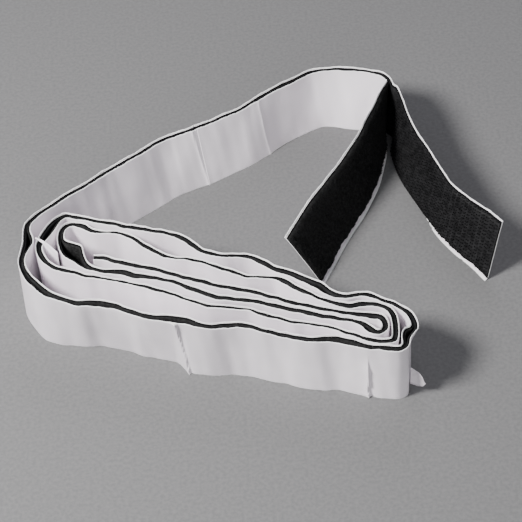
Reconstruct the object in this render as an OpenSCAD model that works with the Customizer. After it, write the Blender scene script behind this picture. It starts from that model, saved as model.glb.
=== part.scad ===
// A length of self-adhesive hook-and-loop fastener: a hook tape and a loop tape pressed face to
// face, each with an adhesive back under a white release liner. The mated pair stands on its
// edges, is wound into a flat hank, and peels apart into two free tails at its outer end.
// Millimetres. +Z is up, the table is z = 0, the hank's long side runs along X.

/* [Tape] */
// width of both tapes, which is how tall the strap stands
tape_width = 20; // [10:0.5:50]
// thickness of each woven tape
base_thickness = 0.35; // [0.2:0.05:0.6]
// thickness of each adhesive film
adhesive_thickness = 0.1; // [0.05:0.05:0.2]
// thickness of each paper release liner
liner_thickness = 0.1; // [0.05:0.05:0.2]
// how far the liners stand above the tapes' top edges
liner_overhang = 0.3; // [0:0.1:1]

/* [Pile] */
// height of the hooks and of the loops where the tapes are pressed together
mated_pile = 0.4; // [0.2:0.05:0.6]
// height of the hooks on the free tail
free_hook_height = 0.9; // [0.4:0.1:1.5]
// height of the loop pile on the free tail
free_loop_height = 1; // [0.4:0.1:1.5]
// extra slack between the two tapes, added along the whole mated length
extra_parting = 0; // [0:0.05:0.3]

/* [Hank] */
// size of the whole winding in plan, as a share of the normal one
hank_scale = 1; // [0.9:0.01:1.2]

/* [Liner tongues] */
// height of the torn liner tongue at the hank's right-hand end
right_tongue_height = 6.2; // [3:0.1:12]
// reach of that tongue
right_tongue_reach = 4.4; // [2:0.1:8]
// reach of the pointed liner tongue at the left-hand end
left_tongue_reach = 10; // [7:0.5:11]

/* [Output] */
// which node to draw, or all of them

/* [Hidden] */

// depth of each layer under the liner's outer face
under_liner = liner_thickness;
under_adhesive = under_liner + adhesive_thickness;
under_tape = under_adhesive + base_thickness;
under_mated_pile = under_tape + mated_pile;
under_free_hooks = under_tape + free_hook_height;
under_free_loops = under_tape + free_loop_height;
// thinnest that the mated pair can be
closed_pair = 2 * under_mated_pile + 0.05;
// how much thicker the pair is than the 1.95 that the routes are laid out for: each turn of the
// hank stands outwards by that much for every pair between it and the hank's middle
swelling = closed_pair + extra_parting - 1.95;
samples_per_step = 3;
// moves the routes so that the origin is under the middle of the whole strap
centring = [-0.5, 1.06];
// where each torn tongue leaves its liner, in the routes' own coordinates
right_tongue_root = [41.9, -63.9];
left_tongue_root = [-61.2, -17];
// free height between the liners' top edges and the tongue that lies over them
tongue_gap = 0.3;

black = [0.03, 0.03, 0.035];
black_pile = [0.05, 0.05, 0.055];
adhesive_tint = [0.86, 0.86, 0.8];
liner_white = [0.93, 0.92, 0.94];

// Route of the hook tape's liner face round the hank, from the left-hand fold to the inner end,
// always with the hank's middle on the left. Each entry is x, y and the slack between the
// tapes beyond the closed pair: it grows where the loop tape buckles away from the hooks.
first_turn = [
    // left end
    [-72.5, -6.5, 0.3], [-72.5, -9, 1.2], [-72.5, -12, 1.4], [-73, -15.5, 0.2], [-73.5, -19, 0],
    [-73, -22.5, 0], [-71.5, -26.5, 0.3], [-69.5, -30, 0.6], [-66.5, -34, 0.8], [-63, -36.5, 0.5],
    // front run
    [-59, -38.5, 0.2], [-54.5, -40.5, 0.8], [-50, -41, 1.2], [-45.5, -42.5, 0.8],
    [-41, -44.5, 0.4], [-36.5, -47, 0.5], [-31, -48.5, 0.6], [-25, -50.5, 1.2],
    [-20.5, -52.5, 0.6], [-16, -53.5, 0.3], [-10.5, -53.5, 0.6], [-5.5, -54.5, 0.3],
    [0, -57, 0], [5.5, -59, 0.3], [10.5, -61, 0.1], [15.5, -62, 0.6], [20, -62.5, 1.2],
    [25, -64.5, 0.8], [30, -66, 0.1], [34, -67, 0.5], [37.5, -67.5, 0.3],
    // right end
    [40, -66.5, 0.1], [41, -64.5, 0.1], [41.5, -62.5, 0.9], [42.8, -60.5, 1.5], [44, -58.5, 0.3],
    [44, -55.5, 0], [43, -52, 0], [41, -49.5, 0], [38.5, -47.5, 0], [35, -45.5, 0],
    // back run
    [31.5, -43.2, 0], [27.5, -42.5, 0], [24, -42.5, 0.3], [21, -41, 1], [18, -37.5, 1.4],
    [14, -35, 1], [9.5, -32, 0.6], [5, -29.5, 0.4], [1, -26, 0.2], [-3, -23, 0.1],
    [-7.5, -22.5, 0], [-12.5, -22, 0], [-17, -19.5, 0], [-20, -16, 0.2], [-24, -12, 0.1],
    [-29, -10, 0], [-34, -8.5, 0.2], [-39.5, -6.5, 0.1], [-45.5, -4, 0], [-51, -2.5, 0],
    [-56, -0.5, 0], [-60, 0.5, 0.1]
];
second_turn = [
    // left end
    [-63.5, -2, 0.8], [-66, -6, 1.4], [-67.5, -9.5, 1], [-68.3, -12.5, 0.1], [-68, -16, 0],
    [-66.5, -20, 0], [-64, -23, 0], [-60, -25.2, 0], [-56.5, -26.8, 0], [-53, -29, 0],
    // front run
    [-48.5, -30.5, 0], [-43, -32, 0], [-37.5, -34, 0], [-32, -37, 0.2], [-27, -39.5, 0],
    [-21.5, -42.5, 0], [-16, -45, 0], [-10, -46.5, 0], [-4.5, -48, 0], [0.5, -50.8, 0.2],
    [4.5, -52.3, 0], [8.5, -54.3, 0], [13.5, -55.5, 0], [19, -57.5, 0], [24.5, -60.5, 0],
    [30, -63, 0], [34.5, -64.2, 0],
    // right end
    [37.3, -63.3, 0], [38.2, -61, 0], [38.5, -58, 0], [38.5, -55, 0], [38, -51.8, 0],
    [36, -48.8, 0], [32.5, -47, 0.2],
    // back run
    [28.5, -46.3, 0.5], [25, -46.2, 0.7], [21.5, -45.3, 0.6], [16.5, -43, 0.2], [12, -39.5, 0.4],
    [8, -35.8, 0.6], [5.2, -33.5, 0.2], [1, -32.5, 0], [-4, -32, 0.2], [-9.5, -29, 0.2],
    [-15.5, -25.5, 0], [-20, -23, 0], [-25.5, -22, 0], [-29.5, -20, 0.4], [-33.5, -16.5, 0.2],
    [-39, -11.2, 0], [-42.5, -9, 0], [-46.5, -8.5, 0], [-50.5, -7.3, 0.3], [-54, -4.5, 0.5],
    [-57, -3.5, 0]
];
third_turn = [
    // left end
    [-59.5, -4.3, 0], [-61.2, -6.5, 0], [-61.7, -9.5, 0], [-61.6, -12, 0.6],
    [-61.2, -14.2, 2.8], [-60.4, -16.7, 4.3], [-58.7, -19.4, 4.1], [-56, -22.2, 2],
    [-53.5, -24.5, 0.4], [-50.5, -26.5, 0],
    // front run
    [-47, -27.5, 0.2], [-43, -28.2, 1.1], [-38.5, -30, 0.6], [-33.5, -31.5, 0.2],
    [-28.5, -33, 0], [-24, -35.5, 0.2], [-18.5, -39, 0.2], [-13, -42, 0.2], [-7, -43.3, 0.2],
    [-1, -45, 0.2], [4.5, -47.5, 0.3], [10.5, -49.8, 0.3], [16, -52.3, 0.3], [21, -53.7, 0.1],
    [25, -54.6, 0], [27.6, -56.2, 0.3], [28.9, -58.2, 0.8], [31, -60, 0.5], [33.6, -60, 0],
    // right end
    [35.3, -58.4, 0], [35.6, -55.9, 0], [34.7, -53.2, 0.2], [32.6, -51.5, 0.8],
    [29, -50.7, 0.5],
    // last run, to the cut end
    [25, -49.6, 0], [20, -48.5, 0], [16.5, -47.2, 0], [13, -45.8, 0], [8, -43.5, 0],
    [3, -41, 0], [-2.5, -38.5, 0.1], [-8, -36.5, 0.1], [-13, -34.8, 0.1], [-18.5, -32, 0.1],
    [-24.5, -29.5, 0.1], [-30.5, -26.5, 0.1], [-36, -24.3, 0.2], [-41.5, -22, 0.2],
    [-47, -19.5, 0.2], [-50.5, -19, 0.2]
];

// Route of the hook tape's liner face along the lead, from the fork to the left-hand fold.
// Each entry is x, y and slack as above, then how far the top edge leans away from the bottom
// edge in x and in y.
lead_route = [
    [46.8, 50, 0.2, 0.8, 3.5], [45, 52.5, 0.2, 2, 4], [42, 55, 0.2, 3.5, 4.5],
    [38, 56.5, 0.1, 4.5, 5.5], [34, 57, 0, 4, 6.5], [30, 58, 0, 2, 7], [26, 59.3, 0, 0.5, 6],
    [21, 58.3, 0, -0.5, 5.5], [15, 55.7, 0.5, -1.5, 3.8], [8, 50.5, 0.1, -2.5, 4],
    [1, 44, 0, -2.2, 5], [-7.5, 38.5, 0, -2.5, 5], [-16, 34, 0, -2.7, 5.4],
    [-22.5, 31.2, 0, -3, 5.4], [-29.5, 27, 0, -3.5, 5], [-36, 21.7, 0, -3.5, 5],
    [-42, 17.3, 0, -3.5, 5], [-48.5, 12.7, 0, -3, 4.2], [-56, 7.8, 0, -2.5, 3.3],
    [-62.7, 3.6, 0, -1.8, 2.2], [-68, 0.3, 0, -1.2, 0.9], [-71.5, -2.3, 0.1, -0.3, 0.1],
    [-72.4, -4.5, 0.2, 0, 0]
];

// Route of the hook tape's liner face along its tail, from the free end to the fork.
hook_tail_route = [
    [69.5, -21, 0, 5, 6.5], [67, -16.3, 0, 4.5, 6], [63.7, -11.2, 0, 4.3, 4.8],
    [60, -5.3, 0, 4.5, 2.8], [57.8, -1, 0, 4.2, 1.8], [56, 3.8, 0, 4, 1.5],
    [53.5, 11, 0, 4.2, 1.5], [51.5, 18.5, 0, 4, 1.8], [50, 26, 0, 3, 1], [49, 35, 0, 2, 1],
    [48.2, 43, 0, 1.6, 1.4], [47.8, 48.3, 0, 1, 3]
];

// Route of the loop tape's liner face along its tail, from the free end to the fork.
loop_tail_route = [
    [18.5, -17.5, 0, -10.5, 4], [22, -10, 0, -10.2, 4], [25.5, -2.5, 0, -9.5, 4],
    [29.3, 5, 0, -8.7, 3.5], [33, 11.5, 0, -8, 3.5], [36, 18, 0, -7, 3.5],
    [39.3, 26, 0, -6, 3], [41.5, 34, 0, -4.5, 3], [42.8, 39.5, 0, -3, 3.5],
    [43.4, 44, 0, -1.8, 3.2], [43.6, 46.8, 0, -0.8, 3]
];

// ---- curves ----

// one coordinate of a smooth curve through four neighbours, at t from 0 to 1
function smooth(a, b, c, d, t) =
    0.5 * (2 * b + (c - a) * t + (2 * a - 5 * b + 4 * c - d) * t * t
        + (3 * b - a - 3 * c + d) * t * t * t);
// a smooth curve through every point of a route
function curve(p, k = samples_per_step) = [
    for (i = [0 : len(p) - 2]) for (j = [0 : i == len(p) - 2 ? k : k - 1])
        smooth(i == 0 ? 2 * p[0] - p[1] : p[i - 1], p[i], p[i + 1],
            i == len(p) - 2 ? 2 * p[i + 1] - p[i] : p[i + 2], j / k)
];
// x and y of one route point, centred and spread by the hank's scale
function placed(v) = ([v[0], v[1]] + centring) * hank_scale;
function plan(p) = [for (v = p) placed(v)];
// how far the top edge leans, likewise
function lean(p) = [for (v = p) [v[3], v[4]]];
function unit(v) = v / norm(v);
// direction to the left of travel at each point
function lefts(c) = [
    for (i = [0 : len(c) - 1])
        let (d = unit(c[min(i + 1, len(c) - 1)] - c[max(i - 1, 0)])) [-d[1], d[0]]
];
// the curve moved to its left by one distance
function beside(c, distance) = let (n = lefts(c)) [for (i = [0 : len(c) - 1]) c[i] + n[i] * distance];
// the loop tape's liner face: the hook route moved across the pair's thickness
function across(c, p) = let (n = lefts(c)) [
    for (i = [0 : len(c) - 1]) c[i] + n[i] * (closed_pair + extra_parting + p[i][2])
];
function reversed(v) = [for (i = [len(v) - 1 : -1 : 0]) v[i]];
// 1 past the last point of a turn, falling to 0 six points earlier
function past(i, last) = max(0, min(1, (i - last + 6) / 6));
// pairs from the hank's middle out to and with this one, 3 in the first turn and 1 in the last
function bundle_pairs(i) =
    3 - past(i, len(first_turn) - 1) - past(i, len(first_turn) + len(second_turn) - 1);
// the lead lies outside all three turns at the left-hand fold and is free at the fork
function lead_pairs(i) = 4 * i / (len(lead_route) - 1);
// a curve sampled three to a step, moved to its right by the swelling of the pairs inside it
function swollen(c, pairs) = let (n = lefts(c)) [
    for (i = [0 : len(c) - 1]) c[i] - n[i] * (pairs[i] * swelling)
];

bundle_route = concat(first_turn, second_turn, third_turn);
bundle_samples = curve(bundle_route);
bundle_pair_count = [for (i = [0 : len(bundle_samples) - 1]) bundle_pairs(i / samples_per_step)];
bundle_hook = swollen(plan(bundle_samples), bundle_pair_count);
bundle_loop = across(bundle_hook, bundle_samples);
lead_samples = curve(lead_route);
lead_pair_count = [for (i = [0 : len(lead_samples) - 1]) lead_pairs(i / samples_per_step)];
lead_hook = swollen(plan(lead_samples), lead_pair_count);
lead_loop = across(lead_hook, lead_samples);
lead_lean = lean(lead_samples);
hook_tail_samples = curve(hook_tail_route);
hook_tail = plan(hook_tail_samples);
hook_tail_lean = lean(hook_tail_samples);
loop_tail_samples = curve(loop_tail_route);
loop_tail = plan(loop_tail_samples);
loop_tail_lean = lean(loop_tail_samples);

// ---- strips ----

// an upright layer between two distances beside a curve
module upright(c, near, far, height) {
    linear_extrude(height) polygon(concat(beside(c, near), reversed(beside(c, far))));
}

// a layer whose top edge leans away from its bottom edge. levels are the heights of its rows of
// points, as shares of the tape's width along its slope, so that a wider layer shares the rows
// of the one that it lies on
module leaning(c, shift, near, far, levels = [0, 1]) {
    n = len(c);
    rows = len(levels);
    a = beside(c, near);
    b = beside(c, far);
    top = [for (s = shift) sqrt(tape_width * tape_width - s * s)];
    // each section goes up the near face and then up the far face
    points = [
        for (i = [0 : n - 1]) each concat(
            [for (v = levels) [a[i][0] + shift[i][0] * v, a[i][1] + shift[i][1] * v, top[i] * v]],
            [for (v = levels) [b[i][0] + shift[i][0] * v, b[i][1] + shift[i][1] * v, top[i] * v]]
        )
    ];
    // both broad faces are cut along the same diagonal, so that touching layers share it
    broad = [
        for (i = [0 : n - 2]) for (k = [0 : rows - 2])
            let (p = 2 * rows * i + k, q = p + 2 * rows, r = p + rows, t = q + rows) each [
                [p + 1, q + 1, q], [p + 1, q, p],
                [r, t, r + 1], [t, t + 1, r + 1]
            ]
    ];
    rims = [
        for (i = [0 : n - 2])
            let (p = 2 * rows * i, q = p + 2 * rows, m = rows - 1) each [
                [p, q, q + rows], [p, q + rows, p + rows],
                [p + rows + m, q + rows + m, q + m], [p + rows + m, q + m, p + m]
            ]
    ];
    ends = [
        for (k = [0 : rows - 2]) let (r = k + rows, e = 2 * rows * (n - 1)) each [
            [k, r, r + 1], [k, r + 1, k + 1],
            [e + k, e + r + 1, e + r], [e + k, e + k + 1, e + r + 1]
        ]
    ];
    faces = concat(broad, rims, ends);
    polyhedron(points, far > near ? faces : [for (f = faces) [f[0], f[2], f[1]]]);
}

liner_width = tape_width + liner_overhang;
// the liner's rows of points: the tape's two and its own top edge
liner_levels = liner_overhang > 0 ? [0, 1, liner_width / tape_width] : [0, 1];

// the hook tape in the hank, outermost layer last
module hook_pile_bundle() {
    color(black_pile) upright(bundle_hook, under_tape, under_mated_pile, tape_width);
}
module hook_tape_bundle() {
    color(black) upright(bundle_hook, under_adhesive, under_tape, tape_width);
}
module hook_adhesive_bundle() {
    color(adhesive_tint) upright(bundle_hook, under_liner, under_adhesive, tape_width);
}
module hook_liner_bundle() {
    color(liner_white) upright(bundle_hook, 0, under_liner, liner_width);
}

// the loop tape in the hank
module loop_pile_bundle() {
    color(black_pile) upright(bundle_loop, -under_tape, -under_mated_pile, tape_width);
}
module loop_tape_bundle() {
    color(black) upright(bundle_loop, -under_adhesive, -under_tape, tape_width);
}
module loop_adhesive_bundle() {
    color(adhesive_tint) upright(bundle_loop, -under_liner, -under_adhesive, tape_width);
}
module loop_liner_bundle() {
    color(liner_white) upright(bundle_loop, 0, -under_liner, liner_width);
}

// the same pair along the lead
module hook_pile_lead() {
    color(black_pile) leaning(lead_hook, lead_lean, under_tape, under_mated_pile);
}
module hook_tape_lead() {
    color(black) leaning(lead_hook, lead_lean, under_adhesive, under_tape);
}
module hook_adhesive_lead() {
    color(adhesive_tint) leaning(lead_hook, lead_lean, under_liner, under_adhesive);
}
module hook_liner_lead() {
    color(liner_white) leaning(lead_hook, lead_lean, 0, under_liner, liner_levels);
}
module loop_pile_lead() {
    color(black_pile) leaning(lead_loop, lead_lean, -under_tape, -under_mated_pile);
}
module loop_tape_lead() {
    color(black) leaning(lead_loop, lead_lean, -under_adhesive, -under_tape);
}
module loop_adhesive_lead() {
    color(adhesive_tint) leaning(lead_loop, lead_lean, -under_liner, -under_adhesive);
}
module loop_liner_lead() {
    color(liner_white) leaning(lead_loop, lead_lean, 0, -under_liner, liner_levels);
}

// the hook tape's free tail
module hook_pile_tail() {
    color(black_pile) leaning(hook_tail, hook_tail_lean, under_tape, under_free_hooks);
}
module hook_tape_tail() {
    color(black) leaning(hook_tail, hook_tail_lean, under_adhesive, under_tape);
}
module hook_adhesive_tail() {
    color(adhesive_tint) leaning(hook_tail, hook_tail_lean, under_liner, under_adhesive);
}
module hook_liner_tail() {
    color(liner_white) leaning(hook_tail, hook_tail_lean, 0, under_liner, liner_levels);
}

// the loop tape's free tail
module loop_pile_tail() {
    color(black_pile) leaning(loop_tail, loop_tail_lean, -under_tape, -under_free_loops);
}
module loop_tape_tail() {
    color(black) leaning(loop_tail, loop_tail_lean, -under_adhesive, -under_tape);
}
module loop_adhesive_tail() {
    color(adhesive_tint) leaning(loop_tail, loop_tail_lean, -under_liner, -under_adhesive);
}
module loop_liner_tail() {
    color(liner_white) leaning(loop_tail, loop_tail_lean, 0, -under_liner, liner_levels);
}

// a torn tongue of liner that stands out from the right-hand end
module liner_tongue_right() {
    reach = right_tongue_reach;
    height = right_tongue_height;
    color(liner_white)
        translate(concat(placed(right_tongue_root), 2.6))
            rotate([90, 0, -32])
                // it moves out with the first turn
                translate([3 * swelling, 0, 0])
                    linear_extrude(liner_thickness)
                        polygon([
                            [0, 0], [reach * 0.5, 0.5], [reach, 0.7],
                            [reach * 0.97, height * 0.6], [reach * 0.6, height * 0.9],
                            [reach * 0.25, height], [0, height * 0.97]
                        ]);
}

// a pointed tongue of liner peeled from the third turn, whose tip lies over the second turn
module liner_tongue_left() {
    low = liner_width + tongue_gap;
    color(liner_white)
        translate(concat(placed(left_tongue_root), 0))
            rotate([90, 0, 137])
                // it moves out with the third turn
                translate([swelling, 0, 0])
                    linear_extrude(liner_thickness)
                        polygon([
                            [0, liner_width * 0.42], [2.2, liner_width * 0.48],
                            [5.4, liner_width * 0.85], [5.9, low],
                            [left_tongue_reach, low + 0.15],
                            [left_tongue_reach - 0.2, low + 0.4],
                            [5, low + 0.35], [0, low]
                        ]);
}

hook_tape_bundle();
hook_pile_bundle();
hook_adhesive_bundle();
hook_liner_bundle();
loop_tape_bundle();
loop_pile_bundle();
loop_adhesive_bundle();
loop_liner_bundle();
hook_tape_lead();
hook_pile_lead();
hook_adhesive_lead();
hook_liner_lead();
loop_tape_lead();
loop_pile_lead();
loop_adhesive_lead();
loop_liner_lead();
hook_tape_tail();
hook_pile_tail();
hook_adhesive_tail();
hook_liner_tail();
loop_tape_tail();
loop_pile_tail();
loop_adhesive_tail();
loop_liner_tail();
liner_tongue_right();
liner_tongue_left();
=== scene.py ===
"""A length of self-adhesive hook-and-loop strap: two black tapes pressed face to face, each with
its white release liner, standing on edge in a flat hank and peeled into two tails at one end.

Both strips are one smooth route each. Every layer of a strip is a thin slab carried along the
route at its own depth under the liner's outer face. Routes and sizes are in millimetres and
become metres when a mesh is made."""
import math

import bpy
import numpy as np
from mathutils import Matrix, Vector


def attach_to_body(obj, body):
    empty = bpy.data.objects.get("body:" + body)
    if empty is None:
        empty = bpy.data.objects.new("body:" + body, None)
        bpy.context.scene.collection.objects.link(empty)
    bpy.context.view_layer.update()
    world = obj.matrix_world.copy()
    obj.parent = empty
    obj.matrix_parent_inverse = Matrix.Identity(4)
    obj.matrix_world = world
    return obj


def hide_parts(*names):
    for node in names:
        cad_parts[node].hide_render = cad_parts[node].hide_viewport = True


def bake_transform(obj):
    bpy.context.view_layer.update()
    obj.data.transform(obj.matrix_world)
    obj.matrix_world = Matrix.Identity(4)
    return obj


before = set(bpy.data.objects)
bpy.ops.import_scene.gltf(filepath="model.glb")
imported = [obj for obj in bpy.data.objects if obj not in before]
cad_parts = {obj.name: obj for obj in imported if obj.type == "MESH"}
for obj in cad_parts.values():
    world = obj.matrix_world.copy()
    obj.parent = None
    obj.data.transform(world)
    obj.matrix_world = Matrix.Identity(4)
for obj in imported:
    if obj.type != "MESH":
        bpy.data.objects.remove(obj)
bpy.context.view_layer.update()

MM = 0.001
TAPE_WIDTH = 20.0
# depth at which each layer ends, under the liner's outer face
LINER = 0.1
ADHESIVE = 0.2
WEAVE = 0.55
MATED_PILE = 0.95
CLOSED_PAIR = 2 * MATED_PILE + 0.05
# the liner is drawn this much fuller outwards, so that its cut edge shows
LINER_FULLNESS = 0.08
# thickness of the ground that the hooks or loops grow from, on a tail and where mated
TAIL_GROUND = 0.25
MATED_GROUND = 0.4
# share of the width that the liner's narrow edge row takes; that row is painted bright as a
# highlight
EDGE_ROW = 0.014
# rows of points up a layer's face
LINER_ROWS = 16
LAYER_ROWS = 11
# distances between a layer's sections along the strip
LINER_STEP = 0.4
FILM_STEP = 0.8
TAPE_STEP = 0.5
# puts the origin under the middle of the whole strap
CENTRING = np.array([-0.5, 1.06])

# ---- routes: x, y, slack between the tapes, and how far the top edge leans in x and y ----

HOOK_TAIL = [
    [69.5, -21, 0, 5, 6.5], [67, -16.3, 0, 4.5, 6], [63.7, -11.2, 0, 4.3, 4.8],
    [60, -5.3, 0, 4.5, 2.8], [57.8, -1, 0, 4.2, 1.8], [56, 3.8, 0, 4, 1.5],
    [53.5, 11, 0, 4.2, 1.5], [51.5, 18.5, 0, 4, 1.8], [50, 26, 0, 3, 1], [49, 35, 0, 2, 1],
    [48.2, 43, 0, 1.6, 1.4], [47.8, 48.3, 0, 1, 3],
]
LOOP_TAIL = [
    [18.5, -17.5, 0, -10.5, 4], [22, -10, 0, -10.2, 4], [25.5, -2.5, 0, -9.5, 4],
    [29.3, 5, 0, -8.7, 3.5], [33, 11.5, 0, -8, 3.5], [36, 18, 0, -7, 3.5],
    [39.3, 26, 0, -6, 3], [41.5, 34, 0, -4.5, 3], [42.8, 39.5, 0, -3, 3.5],
    [43.4, 44, 0, -1.8, 3.2], [43.6, 46.8, 0, -0.8, 3],
]
LEAD = [
    [46.8, 50, 0.2, 0.8, 3.5], [45, 52.5, 0.2, 2, 4], [42, 55, 0.2, 3.5, 4.5],
    [38, 56.5, 0.1, 4.5, 5.5], [34, 57, 0, 4, 6.5], [30, 58, 0, 2, 7], [26, 59.3, 0, 0.5, 6],
    [21, 58.3, 0, -0.5, 5.5], [15, 55.7, 0.5, -1.5, 3.8], [8, 50.5, 0.1, -2.5, 4],
    [1, 44, 0, -2.2, 5], [-7.5, 38.5, 0, -2.5, 5], [-16, 34, 0, -2.7, 5.4],
    [-22.5, 31.2, 0, -3, 5.4], [-29.5, 27, 0, -3.5, 5], [-36, 21.7, 0, -3.5, 5],
    [-42, 17.3, 0, -3.5, 5], [-48.5, 12.7, 0, -3, 4.2], [-56, 7.8, 0, -2.5, 3.3],
    [-62.7, 3.6, 0, -1.8, 2.2], [-68, 0.3, 0, -1.2, 0.9], [-71.5, -2.3, 0.1, -0.3, 0.1],
    [-72.4, -4.5, 0.2, 0, 0],
]
# the hank stands upright, so its rows have no lean
HANK_PLAN = [
    [-72.5, -6.5, 0.3], [-72.5, -9, 1.2], [-72.5, -12, 1.4], [-73, -15.5, 0.2], [-73.5, -19, 0],
    [-73, -22.5, 0], [-71.5, -26.5, 0.3], [-69.5, -30, 0.6], [-66.5, -34, 0.8], [-63, -36.5, 0.5],
    [-59, -38.5, 0.2], [-54.5, -40.5, 0.8], [-50, -41, 1.2], [-45.5, -42.5, 0.8],
    [-41, -44.5, 0.4], [-36.5, -47, 0.5], [-31, -48.5, 0.6], [-25, -50.5, 1.2],
    [-20.5, -52.5, 0.6], [-16, -53.5, 0.3], [-10.5, -53.5, 0.6], [-5.5, -54.5, 0.3],
    [0, -57, 0], [5.5, -59, 0.3], [10.5, -61, 0.1], [15.5, -62, 0.6], [20, -62.5, 1.2],
    [25, -64.5, 0.8], [30, -66, 0.1], [34, -67, 0.5], [37.5, -67.5, 0.3],
    [40, -66.5, 0.1], [41, -64.5, 0.1], [41.5, -62.5, 0.9], [42.8, -60.5, 1.5], [44, -58.5, 0.3],
    [44, -55.5, 0], [43, -52, 0], [41, -49.5, 0], [38.5, -47.5, 0], [35, -45.5, 0],
    [31.5, -43.2, 0], [27.5, -42.5, 0], [24, -42.5, 0.3], [21, -41, 1], [18, -37.5, 1.4],
    [14, -35, 1], [9.5, -32, 0.6], [5, -29.5, 0.4], [1, -26, 0.2], [-3, -23, 0.1],
    [-7.5, -22.5, 0], [-12.5, -22, 0], [-17, -19.5, 0], [-20, -16, 0.2], [-24, -12, 0.1],
    [-29, -10, 0], [-34, -8.5, 0.2], [-39.5, -6.5, 0.1], [-45.5, -4, 0], [-51, -2.5, 0],
    [-56, -0.5, 0], [-60, 0.5, 0.1],
    [-63.5, -2, 0.8], [-66, -6, 1.4], [-67.5, -9.5, 1], [-68.3, -12.5, 0.1], [-68, -16, 0],
    [-66.5, -20, 0], [-64, -23, 0], [-60, -25.2, 0], [-56.5, -26.8, 0], [-53, -29, 0],
    [-48.5, -30.5, 0], [-43, -32, 0], [-37.5, -34, 0], [-32, -37, 0.2], [-27, -39.5, 0],
    [-21.5, -42.5, 0], [-16, -45, 0], [-10, -46.5, 0], [-4.5, -48, 0], [0.5, -50.8, 0.2],
    [4.5, -52.3, 0], [8.5, -54.3, 0], [13.5, -55.5, 0], [19, -57.5, 0], [24.5, -60.5, 0],
    [30, -63, 0], [34.5, -64.2, 0],
    [37.3, -63.3, 0], [38.2, -61, 0], [38.5, -58, 0], [38.5, -55, 0], [38, -51.8, 0],
    [36, -48.8, 0], [32.5, -47, 0.2],
    [28.5, -46.3, 0.5], [25, -46.2, 0.7], [21.5, -45.3, 0.6], [16.5, -43, 0.2], [12, -39.5, 0.4],
    [8, -35.8, 0.6], [5.2, -33.5, 0.2], [1, -32.5, 0], [-4, -32, 0.2], [-9.5, -29, 0.2],
    [-15.5, -25.5, 0], [-20, -23, 0], [-25.5, -22, 0], [-29.5, -20, 0.4], [-33.5, -16.5, 0.2],
    [-39, -11.2, 0], [-42.5, -9, 0], [-46.5, -8.5, 0], [-50.5, -7.3, 0.3], [-54, -4.5, 0.5],
    [-57, -3.5, 0],
    [-59.5, -4.3, 0], [-61.2, -6.5, 0], [-61.7, -9.5, 0], [-61.6, -12, 0.6],
    [-61.2, -14.2, 2.8], [-60.4, -16.7, 4.3], [-58.7, -19.4, 4.1], [-56, -22.2, 2],
    [-53.5, -24.5, 0.4], [-50.5, -26.5, 0],
    [-47, -27.5, 0.2], [-43, -28.2, 1.1], [-38.5, -30, 0.6], [-33.5, -31.5, 0.2],
    [-28.5, -33, 0], [-24, -35.5, 0.2], [-18.5, -39, 0.2], [-13, -42, 0.2], [-7, -43.3, 0.2],
    [-1, -45, 0.2], [4.5, -47.5, 0.3], [10.5, -49.8, 0.3], [16, -52.3, 0.3], [21, -53.7, 0.1],
    [25, -54.6, 0], [27.6, -56.2, 0.3], [28.9, -58.2, 0.8], [31, -60, 0.5], [33.6, -60, 0],
    [35.3, -58.4, 0], [35.6, -55.9, 0], [34.7, -53.2, 0.2], [32.6, -51.5, 0.8],
    [29, -50.7, 0.5],
    [25, -49.6, 0], [20, -48.5, 0], [16.5, -47.2, 0], [13, -45.8, 0], [8, -43.5, 0],
    [3, -41, 0], [-2.5, -38.5, 0.1], [-8, -36.5, 0.1], [-13, -34.8, 0.1], [-18.5, -32, 0.1],
    [-24.5, -29.5, 0.1], [-30.5, -26.5, 0.1], [-36, -24.3, 0.2], [-41.5, -22, 0.2],
    [-47, -19.5, 0.2], [-50.5, -19, 0.2],
]
HANK = [[*row, 0, 0] for row in HANK_PLAN]

# where one piece of a strip ends and the next begins, on the hook tape's side
LEAD_SEAM = (-16, 34)
HANK_SEAM = (-73.5, -19)


# ---- curves ----

def smooth(route, per_step):
    """A smooth curve through every row of a route: between two rows b and c with outer
    neighbours a and d it is half of 2b + (c-a)t + (2a-5b+4c-d)t^2 + (3b-a-3c+d)t^3."""
    r = np.asarray(route, float)
    p = np.vstack([2 * r[0] - r[1], r, 2 * r[-1] - r[-2]])
    a, b, c, d = p[:-3, None], p[1:-2, None], p[2:-1, None], p[3:, None]
    t = (np.arange(per_step) / per_step)[None, :, None]
    out = 0.5 * (2 * b + (c - a) * t + (2 * a - 5 * b + 4 * c - d) * t ** 2
                 + (3 * b - a - 3 * c + d) * t ** 3)
    return np.vstack([out.reshape(-1, r.shape[1]), r[-1:]])


def lefts(xy):
    """The unit direction to the left of travel at each point, from its two neighbours."""
    d = np.gradient(xy, axis=0)
    d /= np.linalg.norm(d, axis=1)[:, None]
    return np.stack([-d[:, 1], d[:, 0]], 1)


def lengths(xy):
    """Distance travelled along the curve at each point."""
    return np.concatenate([[0], np.cumsum(np.linalg.norm(np.diff(xy, axis=0), axis=1))])


class Strip:
    """One strip's liner face: plan points, leans and distance along it. side is 1 where the
    layers lie to the left of travel and -1 where they lie to the right."""

    def __init__(self, route, side):
        fine = smooth(route, 10)
        self.xy = fine[:, :2] + CENTRING
        self.lean = fine[:, 3:5]
        self.s = lengths(self.xy)
        self.side = side

    def at(self, s):
        """Plan points, leans and left-hand directions at the distances s."""
        xy = np.stack([np.interp(s, self.s, self.xy[:, k]) for k in (0, 1)], 1)
        lean = np.stack([np.interp(s, self.s, self.lean[:, k]) for k in (0, 1)], 1)
        n = lefts(self.xy)
        n = np.stack([np.interp(s, self.s, n[:, k]) for k in (0, 1)], 1)
        return xy, lean, n / np.linalg.norm(n, axis=1)[:, None]

    def near(self, point):
        """Distance along the strip of the place nearest to a plan point."""
        gap = self.xy - (np.array(point, float) + CENTRING)
        return float(self.s[np.argmin((gap ** 2).sum(1))])


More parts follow.
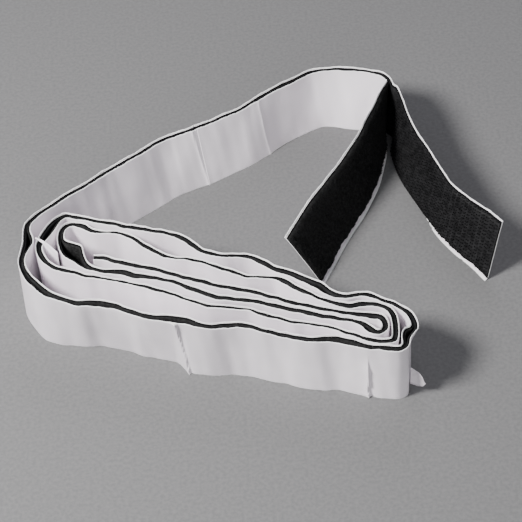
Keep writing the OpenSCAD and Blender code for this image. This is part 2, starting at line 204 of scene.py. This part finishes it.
def loop_route():
    """The loop tape's liner face: its own tail, then the hook tape's mated route moved left by
    the closed pair's thickness and the slack, with its bends rounded twice by a quarter of each
    neighbour."""
    mated = smooth(LEAD + HANK, 3)
    across = mated.copy()
    across[:, :2] += lefts(mated[:, :2]) * (CLOSED_PAIR + mated[:, 2])[:, None]
    for _ in range(2):
        across[1:-1] = (across[:-2] + 2 * across[1:-1] + across[2:]) / 4
    return np.vstack([LOOP_TAIL, across[3:]])


STRIPS = {"hook": Strip(HOOK_TAIL + LEAD + HANK, 1), "loop": Strip(loop_route(), -1)}
# sets each strip's small irregularities
SEEDS = {"hook": 4.0, "loop": 5.3}


def ramp(value, low, high):
    """0 below low, 1 above high, and 3t^2 - 2t^3 of the share t between them."""
    t = np.clip((value - low) / (high - low), 0, 1)
    return t * t * (3 - 2 * t)


def tuck(x, y, down):
    """How far the strap stands in from its top edge at the share down of its height: up to 3 mm
    back along the left part of the front run, ending at a torn crease; 2.3 mm in under the bulge
    of the right-hand end; and 2.4 mm in along the hook tail's foot next to the fork."""
    front = y - (-38.5 - 0.36 * (x + 59))
    back = 3.2 * ramp(x, -67, -50) * (1 - ramp(x, -27.5, -23)) * (1 - ramp(front, 3, 10))
    away = ((x - 44.5) / 4.5) ** 2 + ((y + 57) / 6) ** 2
    bulge = -2.3 * np.exp(-away) * ramp(down, 0, 0.22)
    tail = -2.4 * ramp(x, 44.5, 47.5) * ramp(y, 12, 34) * (1 - ramp(y, 40, 48))
    return bulge + tail * down, back * down


def settle(p):
    """Bends space gently: a point moves across the hank by slow waves along x that slant with
    height, rises or falls by a tenth of its height's share, and is tucked in by tuck(). Layers
    that lie together move together, so they stay as far apart as they were."""
    x, y, z = p[:, 0], p[:, 1], p[:, 2]
    up = np.clip(z / TAPE_WIDTH, 0, 1.1)
    turn = 2 * math.pi
    a = 0.16 * np.sin(turn * (x / 19 + y / 61) + 1.9 * up)
    a += 0.09 * np.sin(turn * (x / 8.3 - y / 37) + 2.6 * up + 1.0)
    a += 0.05 * np.sin(turn * (x / 4.7 + y / 29) + 4.0 * up + 2.0)
    # the lead's belly swells and hollows between its edges
    belly = 4 * up * (1 - up) * ramp(y, 5, 20)
    a += 0.55 * belly * np.sin(turn * (x / 27 + y / 90) + 0.7)
    a += 0.25 * belly * np.sin(turn * (x / 11 - y / 70) + 2.2)
    rise = 0.10 * np.sin(turn * (x / 14 + y / 23)) + 0.05 * np.sin(turn * (x / 5.3 - y / 9))
    in_x, in_y = tuck(x - CENTRING[0], y - CENTRING[1], np.clip(1 - up, 0, 1))
    return p + np.stack([0.4 * a + in_x, 0.92 * a + in_y, rise * up], 1)


# ---- meshes ----

def make_object(name, points, faces, uv=None, material_ids=None, shade=True):
    """A mesh object from points in millimetres, quads or triangles, a u and v for each point in
    metres, and a material number for each face."""
    mesh = bpy.data.meshes.new(name)
    mesh.from_pydata((points * MM).tolist(), [], faces.tolist())
    if uv is not None:
        layer = mesh.uv_layers.new(name="along")
        corner = np.empty(len(mesh.loops), np.int32)
        mesh.loops.foreach_get("vertex_index", corner)
        layer.data.foreach_set("uv", (uv[corner] * MM).astype(np.float32).ravel())
    if material_ids is not None:
        mesh.polygons.foreach_set("material_index", material_ids.astype(np.int32))
    mesh.polygons.foreach_set("use_smooth", np.full(len(mesh.polygons), shade))
    mesh.update()
    obj = bpy.data.objects.new(name, mesh)
    bpy.context.scene.collection.objects.link(obj)
    return obj


def slab(name, strip, s, near, far, rows, low, high, puff=None, trim=0.0):
    """A closed slab carried along a strip. At each distance s its section is a loop: up the near
    face from share low to share high of the tape's width, and down the far face. near and far
    are depths under the liner's outer face. puff(s, share) moves both faces outwards. trim is
    the share of the width that a narrow row takes at each edge; those rows and the rims are the
    second material's."""
    xy, lean, n = strip.at(s)
    count = len(s)
    share = np.linspace(0, 1, rows)
    if trim:
        # rows are closer together at the foot, which curls
        foot_rows = [0, trim, 0.03, 0.048, 0.066, 0.085]
        share = np.concatenate([foot_rows, np.linspace(0.16, 1 - trim, rows - 7), [1]])
    low = np.broadcast_to(low, (count,))[:, None]
    high = np.broadcast_to(high, (count,))[:, None]
    up = low + (high - low) * share[None, :]
    up = np.concatenate([up, up[:, ::-1]], 1)
    depth = np.concatenate([np.full(rows, near), np.full(rows, far)])[None, :]
    depth = np.broadcast_to(depth, up.shape).copy()
    if puff is not None:
        depth -= puff(s[:, None], up)
    top = np.sqrt(TAPE_WIDTH ** 2 - (lean ** 2).sum(1))
    plan = xy[:, None, :] + lean[:, None, :] * up[:, :, None]
    plan = plan + n[:, None, :] * (strip.side * depth)[:, :, None]
    points = np.concatenate([plan, (top[:, None] * up)[:, :, None]], 2).reshape(-1, 3)
    m = 2 * rows
    i = np.arange(count - 1)[:, None] * m
    k = np.arange(m)[None, :]
    k2 = (k + 1) % m
    walls = np.stack([i + k, i + k2, i + m + k2, i + m + k], 2).reshape(-1, 4)
    edge = (k == rows - 1) | (k == m - 1)
    if trim:
        edge |= (k == 0) | (k == rows - 2) | (k == rows) | (k == m - 2)
    edge = np.broadcast_to(edge, (count - 1, m)).ravel()
    j = np.arange(rows - 1)
    first = np.stack([j, m - 1 - j, m - 2 - j, j + 1], 1)
    last = (first + (count - 1) * m)[:, ::-1]
    faces = np.vstack([walls, first, last])
    # the loops of points run the other way round on the side to the left of travel
    if strip.side > 0:
        faces = faces[:, ::-1]
    ids = np.concatenate([edge, np.ones(2 * (rows - 1), bool)]).astype(np.int32)
    uv = np.stack([np.broadcast_to(s[:, None], up.shape).ravel(), (up * TAPE_WIDTH).ravel()], 1)
    return make_object(name, settle(points), faces, uv, ids)


def bristles(name, strip, s, share, depth, path, girth, turns, seed):
    """Many small bent rods or loops on a strip. Each stands at a distance s and a share of the
    width, rooted at a depth under the liner's face. path gives one rod's points as along, up
    and out in millimetres; turns swings each about its own out direction. Every point of a path
    gets a square ring of side girth."""
    rng = np.random.default_rng(seed)
    xy, lean, n = strip.at(s)
    top = np.sqrt(TAPE_WIDTH ** 2 - (lean ** 2).sum(1))
    upward = np.stack([lean[:, 0], lean[:, 1], top], 1) / TAPE_WIDTH
    out = np.concatenate([n * strip.side, np.zeros((len(s), 1))], 1)
    along = np.cross(upward, out)
    along /= np.linalg.norm(along, axis=1)[:, None]
    out = np.cross(along, upward)
    root = np.concatenate([xy + lean * share[:, None], (top * share)[:, None]], 1)
    root = root + out * depth
    path = np.asarray(path, float)
    size = rng.uniform(0.85, 1.12, len(s))[:, None]
    c, d = np.cos(turns)[:, None], np.sin(turns)[:, None]
    a = size * (c * path[None, :, 0] - d * path[None, :, 1])
    b = size * (d * path[None, :, 0] + c * path[None, :, 1])
    o = np.broadcast_to(size * path[None, :, 2], a.shape)
    middle = np.stack([a, b, o], 2)
    run = np.gradient(middle, axis=1)
    run /= np.linalg.norm(run, axis=2)[:, :, None]
    flat = np.stack([-d, c, np.zeros_like(c)], 2) * np.ones_like(run)
    flat /= np.linalg.norm(flat, axis=2)[:, :, None]
    across_run = np.cross(run, flat)
    half = girth / 2
    corners = [(half, half), (-half, half), (-half, -half), (half, -half)]
    ring = np.stack([middle + u * flat + v * across_run for u, v in corners], 2)
    basis = np.stack([along, upward, out], 1)
    world = root[:, None, None, :] + np.einsum("npkc,ncd->npkd", ring, basis)
    rods, knots = middle.shape[:2]
    base = (np.arange(rods) * knots * 4)[:, None, None]
    i = np.arange(knots - 1)[None, :, None] * 4
    k = np.arange(4)[None, None, :]
    k2 = (k + 1) % 4
    sides = np.stack([base + i + k, base + i + k2, base + i + 4 + k2, base + i + 4 + k], 3)
    start = (base[:, 0] + np.array([[3, 2, 1, 0]]))
    end = (base[:, 0] + (knots - 1) * 4 + np.array([[0, 1, 2, 3]]))
    faces = np.vstack([sides.reshape(-1, 4), start, end])
    return make_object(name, settle(world.reshape(-1, 3)), faces)


def flap(name, root, heading, curl, reach, low, high):
    """A torn tongue of liner: a thin closed patch that leaves root in plan along heading, in
    radians, and turns by curl per millimetre. low and high give its two edges' heights at equal
    steps of its reach."""
    steps = 17
    rows = 9
    d = np.linspace(0, reach, steps)
    angle = heading + curl * d
    step = np.diff(d, prepend=0)
    xy = np.cumsum(np.stack([np.cos(angle), np.sin(angle)], 1) * step[:, None], 0)
    xy += np.array(root) + CENTRING
    side = np.stack([-np.sin(angle), np.cos(angle)], 1)
    share = np.linspace(0, 1, rows)
    foot = np.interp(d, np.linspace(0, reach, len(low)), low)
    peak = np.interp(d, np.linspace(0, reach, len(high)), high)
    z = foot[:, None] + (peak - foot)[:, None] * share[None, :]
    sway = 0.35 * np.sin(2.2 * share[None, :] + d[:, None] / 3)
    near = np.concatenate([xy[:, None, :] + side[:, None, :] * sway[:, :, None], z[:, :, None]], 2)
    far = near + np.concatenate([side, np.zeros((steps, 1))], 1)[:, None, :] * LINER
    loop_points = np.concatenate([near, far[:, ::-1]], 1)
    m = 2 * rows
    i = np.arange(steps - 1)[:, None] * m
    k = np.arange(m)[None, :]
    k2 = (k + 1) % m
    walls = np.stack([i + k, i + m + k, i + m + k2, i + k2], 2).reshape(-1, 4)
    j = np.arange(rows - 1)
    first = np.stack([j, j + 1, m - 2 - j, m - 1 - j], 1)
    last = (first + (steps - 1) * m)[:, ::-1]
    faces = np.vstack([walls, first, last])
    along = np.broadcast_to(d[:, None], (steps, m)).ravel()
    uv = np.stack([along, loop_points[:, :, 2].ravel()], 1)
    return make_object(name, loop_points.reshape(-1, 3), faces, uv)


# ---- materials ----

def new_material(name, colour, roughness, specular=0.5):
    """A material with one Principled shader; returns it with its node tree and shader."""
    mat = bpy.data.materials.new(name)
    mat.use_nodes = True
    shader = mat.node_tree.nodes["Principled BSDF"]
    shader.inputs["Base Color"].default_value = (*colour, 1)
    shader.inputs["Roughness"].default_value = roughness
    shader.inputs["Specular IOR Level"].default_value = specular
    return mat, mat.node_tree, shader


def add(tree, kind, **settings):
    """A node of that kind with its sockets and properties set by name."""
    node = tree.nodes.new(kind)
    for key, value in settings.items():
        if key in node.inputs:
            node.inputs[key].default_value = value
        else:
            setattr(node, key, value)
    return node


def noise(tree, coords, scale, detail=3.0, rough=0.55):
    """A cloudy pattern, from 0 to 1, with scale lumps to a metre."""
    node = add(tree, "ShaderNodeTexNoise", Scale=scale, Detail=detail, Roughness=rough)
    tree.links.new(coords, node.inputs["Vector"])
    return node.outputs["Fac"]


def bump(tree, height, strength, distance, under=None):
    """A normal tipped by a height pattern, on top of another bump where one is given."""
    node = add(tree, "ShaderNodeBump", Strength=strength, Distance=distance)
    tree.links.new(height, node.inputs["Height"])
    if under is not None:
        tree.links.new(under, node.inputs["Normal"])
    return node.outputs["Normal"]


def two_tints(tree, factor, dark, light, low=0.35, high=0.65):
    """A colour that runs from dark to light as the factor runs from low to high."""
    tints = tree.nodes.new("ShaderNodeValToRGB")
    first, last = tints.color_ramp.elements
    first.position, first.color = low, (*dark, 1)
    last.position, last.color = high, (*light, 1)
    tree.links.new(factor, tints.inputs["Fac"])
    return tints.outputs["Color"]


def liner_paper():
    """Silicone-coated paper: lilac-grey white with faint clouds of painted shade, for the soft
    shading of its folds, a satin surface, fibres, soft dents and shallow waves across the strip."""
    mat, tree, shader = new_material("release_liner_paper", (0.8, 0.79, 0.83), 0.42)
    place = tree.nodes.new("ShaderNodeTexCoord").outputs["Object"]
    # painted shade: faint clouds that darken the paper as the shading of its soft folds would
    painted_shade_clouds = noise(tree, place, 38, 2.0)
    tint = two_tints(tree, painted_shade_clouds, (0.77, 0.725, 0.77), (0.95, 0.895, 0.945))
    tree.links.new(tint, shader.inputs["Base Color"])
    gloss = add(tree, "ShaderNodeMapRange")
    gloss.inputs["To Min"].default_value = 0.36
    gloss.inputs["To Max"].default_value = 0.55
    tree.links.new(noise(tree, place, 350), gloss.inputs["Value"])
    tree.links.new(gloss.outputs["Result"], shader.inputs["Roughness"])
    along = tree.nodes.new("ShaderNodeTexCoord").outputs["UV"]
    stretch = add(tree, "ShaderNodeMapping")
    stretch.inputs["Scale"].default_value = (1.0, 0.12, 1.0)
    tree.links.new(along, stretch.inputs["Vector"])
    waves = bump(tree, noise(tree, stretch.outputs["Vector"], 75, 2.0), 0.5, 0.0022)
    dents = bump(tree, noise(tree, place, 130, 2.0), 0.2, 0.0005, waves)
    fibres = bump(tree, noise(tree, place, 2600, 2.0), 0.12, 0.0001, dents)
    tree.links.new(fibres, shader.inputs["Normal"])
    shader.inputs["Coat Weight"].default_value = 0.12
    shader.inputs["Coat Roughness"].default_value = 0.3
    return mat


def liner_edge_highlight():
    """The paper's cut edge: painted brighter than the paper, as a highlight along the liner's
    edges, and quite matt, with a little grain.
    """
    mat, tree, shader = new_material("release_liner_cut_edge_painted_highlight", (0.95, 0.95, 0.955), 0.85, 0.2)
    place = tree.nodes.new("ShaderNodeTexCoord").outputs["Object"]
    tint = two_tints(tree, noise(tree, place, 900), (0.93, 0.93, 0.94), (0.99, 0.99, 0.99))
    tree.links.new(tint, shader.inputs["Base Color"])
    tree.links.new(bump(tree, noise(tree, place, 3000), 0.25, 0.0001), shader.inputs["Normal"])
    return mat


def adhesive():
    """A tacky white film, slightly glossy, with streaks along the tape."""
    mat, tree, shader = new_material("adhesive_film", (0.9, 0.9, 0.87), 0.4, 0.3)
    place = tree.nodes.new("ShaderNodeTexCoord").outputs["UV"]
    tint = two_tints(tree, noise(tree, place, 700), (0.86, 0.86, 0.82), (0.94, 0.94, 0.92))
    tree.links.new(tint, shader.inputs["Base Color"])
    tree.links.new(bump(tree, noise(tree, place, 1500), 0.2, 0.0001), shader.inputs["Normal"])
    return mat


def woven_nylon():
    """Black narrow fabric: ribs across the tape every 0.7 mm, crossed by finer warp threads."""
    mat, tree, shader = new_material("woven_nylon_black", (0.004, 0.004, 0.0045), 0.8, 0.08)
    place = tree.nodes.new("ShaderNodeTexCoord").outputs["UV"]
    ribs = add(tree, "ShaderNodeTexWave", Scale=455.0, Distortion=0.6, wave_type="BANDS",
               bands_direction="X")
    warp = add(tree, "ShaderNodeTexWave", Scale=700.0, Distortion=0.4, wave_type="BANDS",
               bands_direction="Y")
    for wave in (ribs, warp):
        tree.links.new(place, wave.inputs["Vector"])
    first = bump(tree, ribs.outputs["Fac"], 0.8, 0.00015)
    second = bump(tree, warp.outputs["Fac"], 0.5, 0.0001, first)
    tree.links.new(second, shader.inputs["Normal"])
    tint = two_tints(tree, noise(tree, place, 900), (0.003, 0.003, 0.0034), (0.007, 0.007, 0.0078))
    tree.links.new(tint, shader.inputs["Base Color"])
    return mat


def hook_nylon():
    """Stiff black monofilament: smooth, with small glints."""
    mat, tree, shader = new_material("hook_nylon_black", (0.006, 0.006, 0.0065), 0.6, 0.1)
    place = tree.nodes.new("ShaderNodeTexCoord").outputs["Object"]
    tint = two_tints(tree, noise(tree, place, 500), (0.006, 0.006, 0.0065), (0.018, 0.018, 0.019))
    tree.links.new(tint, shader.inputs["Base Color"])
    return mat


def loop_nap():
    """Soft black nap: very matt, with a fine fuzzy grain."""
    mat, tree, shader = new_material("loop_nap_black", (0.008, 0.008, 0.0085), 0.9, 0.12)
    place = tree.nodes.new("ShaderNodeTexCoord").outputs["Object"]
    tint = two_tints(tree, noise(tree, place, 1200), (0.009, 0.009, 0.0092), (0.026, 0.026, 0.0265))
    tree.links.new(tint, shader.inputs["Base Color"])
    tree.links.new(bump(tree, noise(tree, place, 2500), 0.9, 0.0003), shader.inputs["Normal"])
    return mat


PAPER = liner_paper()
CUT_EDGE_HIGHLIGHT = liner_edge_highlight()
FILM = adhesive()
WOVEN = woven_nylon()
HOOKS = hook_nylon()
NAP = loop_nap()


# ---- the strips' layers ----

def wander(s, seed, reach):
    """A smooth irregular curve of s, between -1 and 1: the sum of three sine waves about reach,
    0.43 reach and 0.19 reach long, each smaller than the last."""
    turn = 2 * math.pi
    total = np.sin(turn * s / reach + seed)
    total = total + 0.7 * np.sin(turn * s / (0.43 * reach) + 2.1 * seed)
    return (total + 0.5 * np.sin(turn * s / (0.19 * reach) + 3.7 * seed)) / 2.2


def crease(s, up, place, slant, reach, height, back, front, jag):
    """A torn fold in a liner, from its foot up to the share reach of its width: it lifts towards
    a slanting ragged line over the distance back and drops behind it over the distance front."""
    line = place + slant * (up - 0.5) + jag * wander(up * 20, 1.3, 6.0)
    q = s - line
    fade = 1 - ramp(up, reach - 0.1, reach + 0.05)
    rise = np.exp(-np.clip(-q, 0, None) / back)
    fall = np.exp(-np.clip(q, 0, None) / front)
    return height * fade * np.where(q < 0, rise, fall)


# creases of the two liners: plan point nearest to each, slant in millimetres over the width,
# share of the width it reaches, height, run before it, run behind it, raggedness
CREASES = {
    "hook": [((-24.3, -50.8), -3.2, 1.2, 1.1, 2.0, 0.1, 0.12),
             ((29.2, -65.8), 0.2, 0.72, 1.0, 1.6, 0.1, 0.4)],
    "loop": [((-16, 32), 1.5, 1.2, 0.4, 1.2, 0.5, 0.2), ((5, 45.5), 1.0, 1.2, 0.35, 1.0, 0.6, 0.2),
             ((5.5, -57.2), 0.5, 1.2, 0.35, 1.0, 0.3, 0.2)],
}


# how high the tape's lower edge stands on a tail, as a share of the width, and how far the liner
# below it curls in
FOOT_HEIGHT = {"hook": 0.04, "loop": 0.05}
FOOT_CURL = 0.95


def tape_foot(strip, side, s):
    """Share of the width at which the woven tape's lower edge stands. Along the tails it stops
    short of the liner's by an irregular amount, which grows over 12 mm from the fork. On the
    hook tail it is small again from the middle up to the fork."""
    free = np.clip((strip.near((46, 49)) - s) / 12, 0, 1)
    if side == "hook":
        free = free * (0.1 + 0.9 * (1 - ramp(s, 24, 38)))
    return FOOT_HEIGHT[side] * free * (1 + 0.45 * wander(s, 2.0 + SEEDS[side], 15.0))


def liner_puff(side):
    """How far a liner stands off its adhesive, as a function of distance and share of the width,
    and where its creases are: a slight flare at its top edge, a foot that curls in towards the
    pile under a tail's tape, and its creases."""
    strip = STRIPS[side]
    places = [(strip.near(point), *rest) for point, *rest in CREASES[side]]

    def puff(s, up):
        out = 0.05 * np.clip(up * 6 - 5, 0, 1) * (1 + wander(s, 0.4, 17.0))
        foot = tape_foot(strip, side, s)
        curl = np.clip(1 - up / np.maximum(foot, 0.001), 0, 1)
        out = out - FOOT_CURL * ramp(foot, 0.008, 0.03) * curl
        for fold in places:
            out = out + crease(s, up, *fold)
        return out
    return puff, [place[0] for place in places]


# how far round a crease the sections are close together, and how close
CREASE_REACH = 4.5
CREASE_STEP = 0.12


def distances(start, end, step, dense=()):
    """Distances from start to end every step, with close extra ones round each dense place."""
    base = np.linspace(start, end, int(round((end - start) / step)) + 1)
    extra = [np.arange(max(start, c - CREASE_REACH), min(end, c + CREASE_REACH), CREASE_STEP)
             for c in dense if start + 0.5 < c < end - 0.5]
    return np.unique(np.round(np.concatenate([base, *extra]), 4))


# each part of a strip: its first body, its second body, and the bend's start and end in plan
BLENDS = {
    side: {
        "end": ("lead", side + "_tail", (44.0, 50.9), (49.4, 43.8)),
        "fold": ("bundle", "lead", (-72.6, -8.0), (-71.9, -2.6)),
        "hank": ("bundle", None, None, None),
    }
    for side in STRIPS
}


def attach(obj, side, part):
    """Lets a piece move with its body; a piece that lies between two bodies only has its transform
    baked.
    """
    first, second, start, end = BLENDS[side][part]
    if second is None:
        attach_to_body(obj, first)
    else:
        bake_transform(obj)


def carry(obj, side, part, nodes, materials):
    """Gives a layer its materials and its body, where it has one alone, and hides the CAD nodes it
    stands for.
    """
    for mat in materials:
        obj.data.materials.append(mat)
    attach(obj, side, part)
    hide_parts(*nodes)


def liner_top(strip, side, s):
    """Share of the tape's width at which the liner's upper edge stands. It is highest where it
    hides most of the black edge behind it: outside the second turn's front run, and inside the
    lead and the second turn's back run."""
    top = 1.018 + 0.006 * wander(s, 0.9 + SEEDS[side], 9.0)
    if side == "hook":
        stretches = [((-60, -25.2), (30, -63))]
    else:
        stretches = [((-66, -1), (36, 55)), ((25, -48), (-54, -6.5))]
    raised = 0 * s
    for start, end in stretches:
        a, b = strip.near(start), strip.near(end)
        raised = raised + 0.024 * ramp(s, a, a + 8) * (1 - ramp(s, b - 8, b))
    # it dips where the tapes gape: behind the lead's bend and next to the left-hand fold
    for place, reach in (((12, 53.5), 6.0), ((-61, 2.5), 3.5)):
        gap = abs(s - strip.near(place))
        raised = raised * (1 - (side == "loop") * (1 - ramp(gap, 0.6 * reach, reach)))
    return top + raised


# the CAD nodes' ending that each part of a strip stands for
ENDING = {"end": "_tail", "fold": "_lead", "hank": "_bundle"}
PILE = {"hook": HOOKS, "loop": NAP}


def build_part(side, part, start, end, puff, dense):
    """The four layers of one part of a strip, from distance start to end: the liner, the
    adhesive film, the woven tape, and the ground that the hooks or loops grow from."""
    strip = STRIPS[side]

    s = distances(start, end, LINER_STEP, dense)
    liner = slab(f"{side}_liner_{part}", strip, s, -LINER_FULLNESS, LINER, LINER_ROWS, 0.0,
                 liner_top(strip, side, s), puff, EDGE_ROW)
    nodes = [side + "_liner" + ENDING[part]]
    # the liner's edge rows and rims take the cut edge's colour, which is a painted highlight
    carry(liner, side, part, nodes, [PAPER, CUT_EDGE_HIGHLIGHT])

    s = distances(start, end, FILM_STEP)
    film = slab(f"{side}_adhesive_{part}", strip, s, LINER, ADHESIVE, LAYER_ROWS,
                tape_foot(strip, side, s) + 0.002, 0.999)
    nodes = [side + "_adhesive" + ENDING[part]]
    carry(film, side, part, nodes, [FILM, FILM])

    s = distances(start, end, TAPE_STEP)
    foot = tape_foot(strip, side, s)
    tape = slab(f"{side}_tape_{part}", strip, s, ADHESIVE, WEAVE, LAYER_ROWS, foot, 1.0)
    nodes = [side + "_tape" + ENDING[part]]
    carry(tape, side, part, nodes, [WOVEN, WOVEN])

    ground = TAIL_GROUND if part == "end" else MATED_GROUND
    pile = slab(f"{side}_pile_{part}", strip, s, WEAVE, WEAVE + ground, LAYER_ROWS, foot + 0.015,
                0.985)
    nodes = [side + "_pile" + ENDING[part]]
    carry(pile, side, part, nodes, [PILE[side], PILE[side]])


def build_strip(side):
    """One whole strip, cut at its two seams."""
    strip = STRIPS[side]
    seams = [0.0, strip.near(LEAD_SEAM), strip.near(HANK_SEAM), strip.s[-1]]
    puff, dense = liner_puff(side)
    for part, start, end in zip(ENDING, seams, seams[1:]):
        build_part(side, part, start, end, puff, dense)


# one hook's and one loop's points: along, up and out from its root
HOOK_PATH = [(0, 0, 0), (0.02, 0, 0.28), (0.1, 0, 0.48), (0.26, 0, 0.58), (0.42, 0, 0.52),
             (0.48, 0, 0.36)]
LOOP_PATH = [(-0.34, 0, 0), (-0.4, 0.05, 0.24), (-0.2, 0.1, 0.46), (0.08, 0.1, 0.5),
             (0.32, 0.05, 0.34), (0.34, 0, 0.05)]
HOOK_ROW_STEP = 1.05
HOOKS_IN_A_ROW = 17
HOOK_GIRTH = 0.17
LOOP_COUNT = 2600
LOOP_GIRTH = 0.09


def build_hooks(rng):
    """Stiff hooks in rows across the free hook tape, every other row facing the other way."""
    strip = STRIPS["hook"]
    fork = strip.near((47.8, 48.3))
    along, up = np.meshgrid(np.arange(0.6, fork - 1, HOOK_ROW_STEP),
                            np.linspace(0.06, 0.965, HOOKS_IN_A_ROW))
    odd = np.round(along / HOOK_ROW_STEP) % 2
    s = (along + rng.uniform(-0.12, 0.12, along.shape)).ravel()
    share = (up + 0.012 * odd + rng.uniform(-0.006, 0.006, along.shape)).ravel()
    turns = np.where(odd == 0, 0, math.pi).ravel() + rng.normal(0, 0.25, s.size)
    share = np.clip(share, tape_foot(strip, "hook", s) + 0.025, 0.975)
    hooks = bristles("hook_tail_hooks", strip, s, share, WEAVE + 0.22, HOOK_PATH, HOOK_GIRTH,
                     turns, 7)
    hooks.data.materials.append(HOOKS)
    attach(hooks, "hook", "end")


def build_nap(rng):
    """Soft napped loops all over the free loop tape, each turned its own way."""
    strip = STRIPS["loop"]
    fork = strip.near((43.4, 44))
    s = rng.uniform(0.5, fork, LOOP_COUNT)
    share = rng.uniform(0, 1, LOOP_COUNT)
    foot = tape_foot(strip, "loop", s) + 0.025
    share = foot + (0.972 - foot) * share
    turns = rng.uniform(0, 2 * math.pi, LOOP_COUNT)
    nap = bristles("loop_tail_nap", strip, s, share, WEAVE + 0.2, LOOP_PATH, LOOP_GIRTH, turns,
                   11)
    nap.data.materials.append(NAP)
    attach(nap, "loop", "end")


def finish_tongue(tongue, body, node):
    """Gives a torn tongue its paper, its body and the CAD node it stands for."""
    tongue.data.materials.append(PAPER)
    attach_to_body(tongue, body)
    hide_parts(node)


for side in STRIPS:
    build_strip(side)

rng = np.random.default_rng(5)
build_hooks(rng)
build_nap(rng)

# the right tongue stands out low down, and the left one lies over the second turn
right_tongue = flap("right_liner_tongue", (41.2, -63.9), math.radians(-14), -0.13, 4.9,
                    [2.2, 1.9, 1.6, 1.9, 2.4, 4.4], [8.9, 8.4, 8.0, 7.7, 6.9, 5.2])
finish_tongue(right_tongue, "right_tongue", "liner_tongue_right")
left_tongue = flap("left_liner_tongue", (-61.2, -17.0), math.radians(132), 0.02, 10.0,
                   [8.5, 9.6, 13.0, 20.62, 20.7, 20.75], [20.6, 20.8, 21.0, 21.1, 21.1, 21.0])
finish_tongue(left_tongue, "left_tongue", "liner_tongue_left")


# ---- stage, light and camera ----

def aim(obj, target):
    """Turns an object's -Z towards a point."""
    direction = Vector(target) - obj.location
    obj.rotation_mode = "QUATERNION"
    obj.rotation_quaternion = direction.to_track_quat("-Z", "Y")


def area_light(name, place, target, size, power, tint=(1, 1, 1)):
    """A round soft light at a place, turned towards a point."""
    light = bpy.data.lights.new(name, "AREA")
    light.shape = "DISK"
    light.size = size
    light.energy = power
    light.color = tint
    obj = bpy.data.objects.new(name, light)
    obj.location = place
    bpy.context.scene.collection.objects.link(obj)
    aim(obj, target)


def floor():
    """A wide square at the table's height, pale grey and faintly grained."""
    size = 3.0
    points = np.array([[-size, -size, 0], [size, -size, 0], [size, size, 0], [-size, size, 0]])
    obj = make_object("table_top", points / MM, np.array([[0, 1, 2, 3]]))
    mat, tree, shader = new_material("pale_table", (0.17, 0.17, 0.172), 0.8, 0.1)
    place = tree.nodes.new("ShaderNodeTexCoord").outputs["Object"]
    tint = two_tints(tree, noise(tree, place, 900), (0.155, 0.155, 0.157), (0.185, 0.185, 0.187))
    tree.links.new(tint, shader.inputs["Base Color"])
    obj.data.materials.append(mat)


floor()
world = bpy.data.worlds.new("studio")
world.use_nodes = True
sky = world.node_tree.nodes["Background"]
sky.inputs["Color"].default_value = (0.92, 0.94, 1.0, 1)
sky.inputs["Strength"].default_value = 0.27
bpy.context.scene.world = world
STRAP_MIDDLE = (0, 0, 0.01)
area_light("key_from_upper_left", (-0.42, -0.2, 0.5), STRAP_MIDDLE, 0.2, 9.6, (1, 0.985, 0.97))
area_light("fill_from_front", (0.2, -0.9, 0.5), STRAP_MIDDLE, 0.6, 2.6)
area_light("back_rim", (0.1, 0.9, 0.7), STRAP_MIDDLE, 0.5, 3.4, (0.94, 0.92, 1))

# the camera's aim and distance in millimetres, its angle above the table, its tilt and its lens
CAMERA_TARGET = np.array([0.0, -16.0, 10.0]) + [*CENTRING, 0]
CAMERA_RISE = math.radians(44)
CAMERA_DISTANCE = 615.4
CAMERA_ROLL = math.radians(3.9)
SENSOR_WIDTH = 36.0
FOCAL_LENGTH = 137.9
forward = np.array([0, math.cos(CAMERA_RISE), -math.sin(CAMERA_RISE)])
right = np.array([1.0, 0, 0])
upward = np.cross(right, forward)
eye = CAMERA_TARGET - forward * CAMERA_DISTANCE
cam_right = math.cos(CAMERA_ROLL) * right - math.sin(CAMERA_ROLL) * upward
cam_up = math.cos(CAMERA_ROLL) * upward + math.sin(CAMERA_ROLL) * right
pose = np.eye(4)
pose[:3, 0], pose[:3, 1], pose[:3, 2], pose[:3, 3] = cam_right, cam_up, -forward, eye * MM
camera = bpy.data.objects.new("camera", bpy.data.cameras.new("camera"))
camera.data.sensor_width = SENSOR_WIDTH
camera.data.lens = FOCAL_LENGTH
camera.matrix_world = Matrix(pose.tolist())
bpy.context.scene.collection.objects.link(camera)
bpy.context.scene.camera = camera
